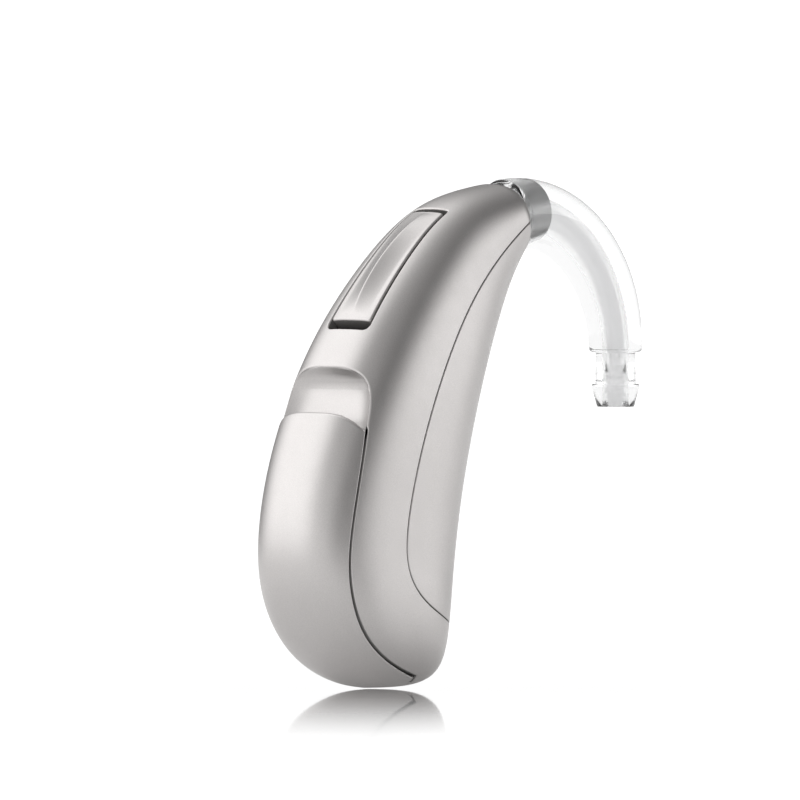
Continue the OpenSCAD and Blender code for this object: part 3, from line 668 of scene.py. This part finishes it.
def behind_scoop(shell):
    """The inside of the wall, kept behind the sunk floor of the scoop."""
    gap = np.abs(SCOOP.inside(xz(skin(*shell.at_used.T)))[0])
    on_rim = (shell.edge_value < TINY) & (gap < ON_LINE)
    sink = np.clip(1 - gap / BEHIND_W, 0, 1) * 2 * SCOOP_DEPTH
    return np.where(on_rim[:, None], shell.top, shell.low) + SCOOP_IN * sink[:, None]


housing_shell = shell_mesh(
    "housing_shell", housing, WALL, open_rim=scoop_rim, extra=scoop_floor, inner=behind_scoop
)
front_cover_shell = shell_mesh("front_cover_shell", cover, WALL)
battery_door_shell = shell_mesh("battery_door_shell", door, WALL, extra=heel_cap)


# Rocker


RIDGE_H, RIDGE_W, CREST_R = 0.55, 1.3, 0.05
RIDGE_START, RIDGE_END = 0.08, 0.94
RIDGE_FULL, RIDGE_FALL = 0.8, 1.4
ROCKER_OVERRUN, ROCKER_HALF_SPAN = 0.06, 2


def ridge(s, y):
    """Height of the ridge over the rocker, at a share s of its length and y from its middle."""
    grow = np.clip((s - RIDGE_START) / (RIDGE_END - RIDGE_START), 0, 1)
    bare = (s <= RIDGE_START) | (s >= RIDGE_END)
    rise = np.where(bare, 0, np.sin(math.pi * grow**RIDGE_FULL) ** RIDGE_FULL)
    across = np.sqrt(y**2 + CREST_R**2) - CREST_R
    return RIDGE_H * rise * np.clip(1 - across / RIDGE_W, 0, 1) ** RIDGE_FALL


def rocker_skin(s, y):
    """A point on top of the rocker: the casing's own back with the ridge on it."""
    s, y = np.asarray(s, float), np.asarray(y, float)
    span = ROCKER_PLACES[1] - ROCKER_PLACES[0] + 2 * ROCKER_OVERRUN
    q = curve(SECTIONS, ROCKER_PLACES[0] - ROCKER_OVERRUN + span * s)
    c, h = (q[..., 0:2] + q[..., 2:4]) / 2, (q[..., 2:4] - q[..., 0:2]) / 2
    t = -((1 - (np.abs(y) / q[..., 4]) ** q[..., 5]) ** (1 / q[..., 5]))
    p = c + h * t[..., None] + ROCKER_OUT * ridge(s, y)[..., None]
    return np.stack([p[..., 0], y + 0 * s, p[..., 1]], -1)


probe = facing(rocker_skin, np.array([0.5]), np.array([0.4]), 1.0)[0]
ROCKER_SIGN = 1.0 if probe @ deep(ROCKER_OUT) > 0 else -1.0
rocker = Shell(
    rocker_skin,
    ROCKER_SIGN,
    [rocker_line(ROCKER_EDGE, ROCKER_EDGE_R, inside=True)],
    np.linspace(0, 1, 97),
    np.linspace(-ROCKER_HALF_SPAN, ROCKER_HALF_SPAN, 61),
    round_q=False,
)
rocker_cap = shell_mesh("rocker_cap", rocker, ROCKER_T)


# Ear hook


def lathe(name, chain, sides=96, wall_kinds=None):
    """Rings strung along a line of the side view, each with its middle, outward way and radius."""
    angles = np.arange(sides) * 2 * math.pi / sides
    points = []
    for centre, out, radius in chain:
        out = np.asarray(out)
        for w in angles:
            p = np.asarray(centre) + radius * math.cos(w) * out
            points.append([p[0], radius * math.sin(w), p[1]])
    faces, kinds = [], []
    n = len(chain)
    for i in range(n):
        a, b = i * sides, (i + 1) % n * sides
        radius, next_radius = chain[i][2], chain[(i + 1) % n][2]
        kind = (wall_kinds or {}).get(radius, 0) if radius == next_radius else 0
        for j in range(sides):
            k = (j + 1) % sides
            faces.append([b + j, b + k, a + k, a + j])
            kinds.append(kind)
    return make_mesh(name, points, faces, kinds=kinds)


HOOK_BORE_R = 0.65
HOOK_SOCKET_R, SOCKET_DEPTH = 1.24, 2.75
SEAL_SEAT_R, SEAL_MOUTH_R, SEAL_DEPTH = 1.67, 1.68, 0.28
NECK_R, NECK_L = 1.42, 2.3
BARB_R, BARB_TIP_R, BARB_L, BARB_LAND = 1.67, 1.32, 1.6, 0.3
ROOT_ROUND, SHOULDER_ROUND, NECK_FILLET, BORE_CHAMFER = 0.07, 0.2, 0.1, 0.05
NECK_START = 0.001
ARCH_STEPS, BORE_STEPS, ROUND_STEPS = 72, 56, 4


def hook_chain():
    """The hook's rings: outside from the root to the tip of the barb, then back up the bore."""
    chain = []
    quarter = [math.pi / 2 * k / ROUND_STEPS for k in range(ROUND_STEPS + 1)]

    def arch(a, radius):
        out = np.array([math.cos(a), math.sin(a)])
        chain.append((ARCH_CENTRE + ARCH_R * out, out, radius))

    def straight(drop, radius):
        chain.append((ARCH_CENTRE + [ARCH_R, -drop], np.array([1.0, 0.0]), radius))

    def axial(depth, radius):
        chain.append((HOOK_SEAT + HOOK_WAY * depth, HOOK_UP, radius))

    rim = ROOT_ROUND
    axial(0, SEAL_MOUTH_R)
    axial(0, HOOK_ROOT_R - rim)
    for t in quarter[1:]:
        axial(rim * (1 - math.cos(t)), HOOK_ROOT_R - rim + rim * math.sin(t))
    start = ARCH_SWEEP - rim / ARCH_R * 1.2
    end = SHOULDER_ROUND / ARCH_R
    for k in range(ARCH_STEPS + 1):
        a = start + (end - start) * k / ARCH_STEPS
        arch(a, arch_radius(a))
    for t in quarter:
        drop = SHOULDER_ROUND * math.sin(t) - SHOULDER_ROUND
        straight(drop, HOOK_TIP_R - SHOULDER_ROUND * (1 - math.cos(t)))
    for t in quarter:
        drop = NECK_FILLET * (1 - math.cos(t)) + NECK_START
        straight(drop, NECK_R + NECK_FILLET * (1 - math.sin(t)))
    barb_end = NECK_L + BARB_L
    for drop, radius in [
        (NECK_L - 0.05, NECK_R),
        (NECK_L, NECK_R + 0.02),
        (NECK_L, BARB_R - 0.05),
        (NECK_L + 0.03, BARB_R - 0.01),
        (NECK_L + 0.07, BARB_R),
        (NECK_L + BARB_LAND, BARB_R),
        (barb_end - 0.03, BARB_TIP_R + 0.005),
        (barb_end, BARB_TIP_R - 0.03),
        (barb_end, HOOK_BORE_R + BORE_CHAMFER),
        (barb_end - BORE_CHAMFER, HOOK_BORE_R),
        (0.0, HOOK_BORE_R),
    ]:
        straight(drop, radius)
    stop = ARCH_SWEEP - SOCKET_DEPTH / ARCH_R
    for k in range(BORE_STEPS + 1):
        arch(stop * k / BORE_STEPS, HOOK_BORE_R)
    axial(SOCKET_DEPTH, HOOK_SOCKET_R)
    axial(SEAL_DEPTH, HOOK_SOCKET_R)
    axial(SEAL_DEPTH, SEAL_SEAT_R)
    return chain


ear_hook_tube = lathe("ear_hook_tube", hook_chain(), wall_kinds={HOOK_BORE_R: 1, HOOK_SOCKET_R: 2})


# Materials


class Value:
    """A number that changes over a surface. Sums with it add their maths nodes."""

    def __init__(self, maker, socket):
        self.maker, self.socket = maker, socket

    def maths(self, operation, *numbers):
        return self.maker.node("ShaderNodeMath", {"operation": operation}, dict(enumerate(numbers)))

    def __add__(self, other):
        return self.maths("ADD", self, other)

    __radd__ = __add__

    def __sub__(self, other):
        return self.maths("SUBTRACT", self, other)

    def __rsub__(self, other):
        return self.maths("SUBTRACT", other, self)

    def __mul__(self, other):
        return self.maths("MULTIPLY", self, other)

    __rmul__ = __mul__

    def __pow__(self, other):
        return self.maths("POWER", self, other)

    def above(self, low, high):
        """0 below low, 1 above high, and smooth between."""
        return self.maker.node(
            "ShaderNodeMapRange",
            {"interpolation_type": "SMOOTHSTEP"},
            {"Value": self, "From Min": low, "From Max": high},
        )


class Maker:
    """Adds nodes to one material or to the world."""

    def __init__(self, tree):
        self.tree = tree
        tree.nodes.clear()

    def node(self, kind, settings=None, values=None, out=0):
        """Adds one node: its settings first, then the value or the link of each named socket."""
        node = self.tree.nodes.new(kind)
        for name, setting in (settings or {}).items():
            setattr(node, name, setting)
        for name, value in (values or {}).items():
            if isinstance(value, Value):
                self.tree.links.new(value.socket, node.inputs[name])
            else:
                node.inputs[name].default_value = value
        return Value(self, node.outputs[out]) if node.outputs else None

    def place(self):
        return self.node("ShaderNodeTexCoord", out="Object")

    def noise(self, size_mm, detail=3.0, rough=0.55):
        """Cloudy noise between 0 and 1, whose patches are about size_mm across."""
        return self.node(
            "ShaderNodeTexNoise",
            {},
            {
                "Vector": self.place(),
                "Scale": 1000.0 / size_mm,
                "Detail": detail,
                "Roughness": rough,
            },
        )

    def mix(self, share, a, b):
        return self.node(
            "ShaderNodeMix",
            {"data_type": "RGBA", "clamp_factor": True},
            {0: share, 6: a, 7: b},
            out=2,
        )

    def bump(self, height, strength, depth_mm):
        return self.node(
            "ShaderNodeBump",
            {},
            {"Height": height, "Strength": strength, "Distance": depth_mm * MM},
        )

    def surface(self, values):
        shader = self.node("ShaderNodeBsdfPrincipled", {}, values)
        self.node("ShaderNodeOutputMaterial", {}, {"Surface": shader})


def new_material(name):
    material = bpy.data.materials.new(name)
    material.use_nodes = True
    return material, Maker(material.node_tree)


def rgb(r, g, b):
    return (r, g, b, 1.0)


def lacquer(name, base, deep_shade, roughness=0.38):
    """Silver lacquer with fine metal flakes, rubbed a little along its length."""
    material, make = new_material(name)
    flakes = make.noise(0.05, 2.0, 0.7)
    clouds = make.noise(4.0, 2.0)
    rubbed = make.noise(1.1, 4.0, 0.6)
    shine = flakes.above(0.3, 0.75) * 0.55 + clouds * 0.2
    make.surface(
        {
            "Base Color": make.mix(shine, rgb(*deep_shade), rgb(*base)),
            "Metallic": 0.86,
            "Roughness": roughness - 0.04 + rubbed * 0.07 + flakes * 0.02,
            "Coat Weight": 0.25,
            "Coat Roughness": 0.22,
            "Normal": make.bump(flakes, 0.12, 0.004),
        }
    )
    return material


def plastic(name, base, other, roughness, grain_mm, bump_mm, metallic=0.0):
    """A plain finish with a fine grain, whose shade drifts slowly from one colour to the other."""
    material, make = new_material(name)
    grain = make.noise(grain_mm, 3.0, 0.6)
    clouds = make.noise(grain_mm * 14, 2.0)
    make.surface(
        {
            "Base Color": make.mix(clouds.above(0.3, 0.7), rgb(*base), rgb(*other)),
            "Metallic": metallic,
            "Roughness": roughness - 0.05 + grain * 0.1,
            "Normal": make.bump(grain, 0.25, bump_mm),
        }
    )
    return material


def clear_plastic(name, tint, roughness, clearness=1.0):
    """Clear moulded tube, faintly grey, with the soft flow marks of its mould."""
    material, make = new_material(name)
    flow = make.noise(2.4, 2.0, 0.4)
    make.surface(
        {
            "Base Color": rgb(*tint),
            "Roughness": roughness + flow * 0.04,
            "IOR": 1.49,
            "Transmission Weight": clearness,
            "Normal": make.bump(flow, 0.05, 0.02),
        }
    )
    return material


silver = lacquer("silver_lacquer", (0.645, 0.622, 0.613), (0.475, 0.458, 0.451))
inside_plastic = plastic(
    "inside_of_casing",
    (0.20, 0.195, 0.19),
    (0.24, 0.235, 0.23),
    roughness=0.55,
    grain_mm=0.2,
    bump_mm=0.01,
)
clear = clear_plastic("clear_hook_plastic", (0.955, 0.957, 0.958), 0.03)
bore_wall = clear_plastic("bore_of_hook", (0.86, 0.86, 0.865), roughness=0.12, clearness=0.72)
socket_wall = clear_plastic("socket_of_hook", (0.97, 0.97, 0.975), roughness=0.3, clearness=0.82)
frosted = clear_plastic("frosted_spigot", (0.97, 0.97, 0.975), roughness=0.3, clearness=0.9)
silicone = clear_plastic("clear_silicone", (0.96, 0.96, 0.965), roughness=0.35, clearness=0.9)
dark_plastic = plastic(
    "dark_plastic",
    (0.030, 0.030, 0.032),
    (0.042, 0.042, 0.044),
    roughness=0.5,
    grain_mm=0.15,
    bump_mm=0.01,
)
rubber = plastic(
    "soft_rubber",
    (0.020, 0.020, 0.021),
    (0.034, 0.034, 0.035),
    roughness=0.78,
    grain_mm=0.12,
    bump_mm=0.015,
)
steel = plastic(
    "steel",
    (0.55, 0.55, 0.56),
    (0.62, 0.62, 0.63),
    roughness=0.3,
    grain_mm=0.08,
    bump_mm=0.003, metallic=1.0,
)
nickel = plastic(
    "nickel_plate",
    (0.66, 0.63, 0.57),
    (0.71, 0.68, 0.62),
    roughness=0.26,
    grain_mm=0.3,
    bump_mm=0.002, metallic=1.0,
)
nylon = plastic(
    "nylon",
    (0.10, 0.10, 0.11),
    (0.14, 0.14, 0.15),
    roughness=0.48,
    grain_mm=0.2,
    bump_mm=0.01,
)
board = plastic(
    "green_board",
    (0.02, 0.14, 0.07),
    (0.03, 0.19, 0.09),
    roughness=0.42,
    grain_mm=0.3,
    bump_mm=0.005,
)
chip = plastic(
    "chip_black",
    (0.018, 0.018, 0.020),
    (0.03, 0.03, 0.032),
    roughness=0.55,
    grain_mm=0.1,
    bump_mm=0.008,
)
ceramic = plastic(
    "ceramic",
    (0.55, 0.42, 0.28),
    (0.66, 0.55, 0.40),
    roughness=0.5,
    grain_mm=0.2,
    bump_mm=0.004,
)
copper = plastic(
    "copper_winding",
    (0.72, 0.32, 0.13),
    (0.80, 0.40, 0.18),
    roughness=0.34,
    grain_mm=0.09,
    bump_mm=0.02, metallic=1.0,
)
gold = plastic(
    "gold_plate",
    (0.83, 0.61, 0.26),
    (0.90, 0.69, 0.34),
    roughness=0.25,
    grain_mm=0.2,
    bump_mm=0.002, metallic=1.0,
)

NODE_FINISHES = {
    "cell_tray": nylon,
    "door_pin": steel,
    "cell_can": nickel,
    "cell_gasket": nylon,
    "cell_lid": nickel,
    "rocker_pin": steel,
    "switch_frame": dark_plastic,
    "switch_board": board,
    "switch_domes": steel,
    "front_microphone": nickel,
    "rear_microphone": nickel,
    "microphone_seals": rubber,
    "chassis": dark_plastic,
    "circuit_board": board,
    "hearing_chip": chip,
    "board_parts": ceramic,
    "telecoil": copper,
    "receiver": steel,
    "receiver_boots": rubber,
    "receiver_tube": rubber,
    "hook_spigot": frosted,
    "hook_seal": silicone,
    "positive_contact": gold,
    "negative_contact": gold,
}
for node_name, finish in NODE_FINISHES.items():
    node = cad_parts[node_name]
    for slot in node.material_slots:
        slot.material = finish


def finished(piece, body, slot_name, *nodes, finishes):
    """Gives a piece its finishes, its body, and the nodes that it takes the place of."""
    for finish in finishes:
        piece.data.materials.append(finish)
    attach(piece, body)
    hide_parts(*nodes)


finished(housing_shell, "casing", "lacquer", "housing", finishes=[silver, inside_plastic])
finished(front_cover_shell, "casing", "lacquer", "front_cover", finishes=[silver, inside_plastic])
finished(battery_door_shell, "door", "lacquer", "battery_door", finishes=[silver, inside_plastic])
finished(rocker_cap, "rocker", "lacquer", "rocker", finishes=[silver, silver])
HOOK_FINISHES = [clear, bore_wall, socket_wall]
finished(ear_hook_tube, "hook", "clear_plastic", "ear_hook", finishes=HOOK_FINISHES)

# Camera, floor and studio

PHOTO_TURN, PHOTO_LIFT = math.radians(43), math.radians(1.5)
PIXELS_PER_MM = 14.08
PICTURE, PICTURE_MIDDLE = 800, 400
DRAWING_X, DRAWING_Y = 270, 690.5
CAMERA_AWAY = 0.6
RIGHT = np.array([math.sin(PHOTO_TURN), -math.cos(PHOTO_TURN), 0])
UP = np.array(
    [
        math.cos(PHOTO_TURN) * math.sin(PHOTO_LIFT),
        math.sin(PHOTO_TURN) * math.sin(PHOTO_LIFT),
        math.cos(PHOTO_LIFT),
    ]
)
BACK = np.cross(RIGHT, UP)
aim_right = RIGHT * (PICTURE_MIDDLE - DRAWING_X) / PIXELS_PER_MM
aim_up = UP * (DRAWING_Y - PICTURE_MIDDLE) / PIXELS_PER_MM
target = placed(aim_right + aim_up)
camera = bpy.data.objects.new("camera", bpy.data.cameras.new("camera"))
bpy.context.scene.collection.objects.link(camera)
camera.data.type = "ORTHO"
camera.data.ortho_scale = PICTURE * MM / PIXELS_PER_MM
camera.location = Vector(target + BACK * CAMERA_AWAY)
camera.rotation_mode = "QUATERNION"
camera.rotation_quaternion = Vector(-BACK).to_track_quat("-Z", "Y")
camera.data.clip_start, camera.data.clip_end = 0.01, 10
bpy.context.scene.camera = camera

FLOOR_DROP, FOOT_X, REACH = 0.00005, 10.0, 3.0
# Metres from the foot between which the floor loses its mirror, and the painted shadow round the
# foot gives way to its glow
MIRROR_FADE, PAINTED_SHADOW_FADE = (0.0, 0.19), (-0.03, 0.04)
FLOOR_Z = float(-REST[1] * MM) - FLOOR_DROP
FOOT = placed(np.array([FOOT_X, 0.0, 0.0]))
corners = [(-1, -1), (1, -1), (1, 1), (-1, 1)]
floor_mesh = bpy.data.meshes.new("floor")
floor_mesh.from_pydata([(x * REACH, y * REACH, FLOOR_Z) for x, y in corners], [], [(0, 1, 2, 3)])
floor = bpy.data.objects.new("floor", floor_mesh)
bpy.context.scene.collection.objects.link(floor)


def vector_number(make, operation, a, b):
    """The number that a Vector Math node gives for two vectors."""
    return make.node("ShaderNodeVectorMath", {"operation": operation}, {0: a, 1: b}, out="Value")


def seen_white(make):
    """1 for what the camera sees, by itself or through the clear hook."""
    by_itself = make.node("ShaderNodeLightPath", out="Is Camera Ray")
    through_hook = make.node("ShaderNodeLightPath", out="Is Transmission Ray")
    return by_itself + through_hook - by_itself * through_hook


WHITE = rgb(1, 1, 1)
floor_finish, make = new_material("pale_floor")
from_foot = vector_number(make, "DISTANCE", make.place(), (float(FOOT[0]), float(FOOT[1]), FLOOR_Z))
seen_direct = make.node("ShaderNodeLightPath", out="Is Camera Ray")
gloss_share = (1 - from_foot.above(*MIRROR_FADE)) ** 1.2 * seen_direct
mirror = make.node("ShaderNodeBsdfAnisotropic", {}, {"Color": WHITE, "Roughness": 0.03})
glow = make.node("ShaderNodeEmission", {}, {"Color": WHITE, "Strength": 0.64})
matt = make.node("ShaderNodeBsdfDiffuse", {}, {"Color": rgb(0.66, 0.66, 0.66)})
paper = make.node("ShaderNodeAddShader", {}, {0: glow, 1: matt})
shown = make.node("ShaderNodeMixShader", {}, {0: gloss_share, 1: paper, 2: mirror})
# For all but camera rays the floor glows only away from the foot. Close to the foot the glow is left
# out: a painted shadow under the casing, which the casing's gloss reflects.
soft_glow = make.node("ShaderNodeEmission", {}, {"Color": WHITE, "Strength": 0.5})
open_sheet = make.node("ShaderNodeAddShader", {}, {0: soft_glow, 1: matt})
out_of_painted_shadow = from_foot.above(*PAINTED_SHADOW_FADE)
floor_with_painted_shadow = make.node("ShaderNodeMixShader", {}, {0: out_of_painted_shadow, 1: matt, 2: open_sheet})
floor_look = make.node("ShaderNodeMixShader", {}, {0: seen_white(make), 1: floor_with_painted_shadow, 2: shown})
make.node("ShaderNodeOutputMaterial", {}, {"Surface": floor_look})
floor_mesh.materials.append(floor_finish)

# Soft lights round the object. Each has its angle to the side of the camera, its angle above the
# floor, its brightness, and how tight it is.
SOFT_LIGHTS = [
    (-90, 0, 1.40, 14),
    (-60, 0, 0.32, 14),
    (-30, 0, 0.68, 14),
    (-90, 25, 0.85, 20),
    (-30, 25, 0.20, 14),
    (0, 25, 0.27, 14),
    (-120, 50, 1.50, 14),
    (-150, 65, 0.70, 14),
    (30, 50, 0.10, 14),
    (60, 75, 0.26, 14),
    (96, 2, 2.60, 40),
    (130, 0, 0.22, 14),
]
AMBIENT = 0.05
# Where white paper behind the object begins to show, through the hook and in its gloss
THROUGH_FADE, GLOSS_FADE = (-0.1, 0.5), (0.99, 0.997)
THROUGH_LEAST = 0.6

world = bpy.data.worlds.new("studio")
bpy.context.scene.world = world
world.use_nodes = True
make = Maker(world.node_tree)
direction = make.node("ShaderNodeTexCoord", out="Generated")
LEVEL_BACK = unit(BACK * [1.0, 1.0, 0.0])
light = AMBIENT
for side, rise, bright, tightness in SOFT_LIGHTS:
    side, rise = math.radians(side), math.radians(rise)
    way = (RIGHT * math.sin(side) + LEVEL_BACK * math.cos(side)) * math.cos(rise)
    way = way + np.array([0.0, 0.0, math.sin(rise)])
    facing_it = vector_number(make, "DOT_PRODUCT", direction, tuple(float(v) for v in way))
    light = (facing_it * 0.5 + 0.5) ** tightness * bright + light
behind = vector_number(make, "DOT_PRODUCT", direction, tuple(float(-v) for v in BACK))
KINDS = ("Camera", "Transmission", "Glossy")
ray = {kind: make.node("ShaderNodeLightPath", out=f"Is {kind} Ray") for kind in KINDS}
through = ray["Transmission"] * (behind.above(*THROUGH_FADE) * (1 - THROUGH_LEAST) + THROUGH_LEAST)
backdrop = ray["Camera"] + through + ray["Glossy"] * behind.above(*GLOSS_FADE)
room = make.node("ShaderNodeBackground", {}, {"Color": WHITE, "Strength": light})
blank = make.node("ShaderNodeBackground", {}, {"Color": WHITE, "Strength": 1.0})
made = make.node("ShaderNodeMixShader", {}, {0: backdrop, 1: room, 2: blank})
make.node("ShaderNodeOutputWorld", {}, {"Surface": made})

bpy.context.scene.view_settings.view_transform = "Standard"
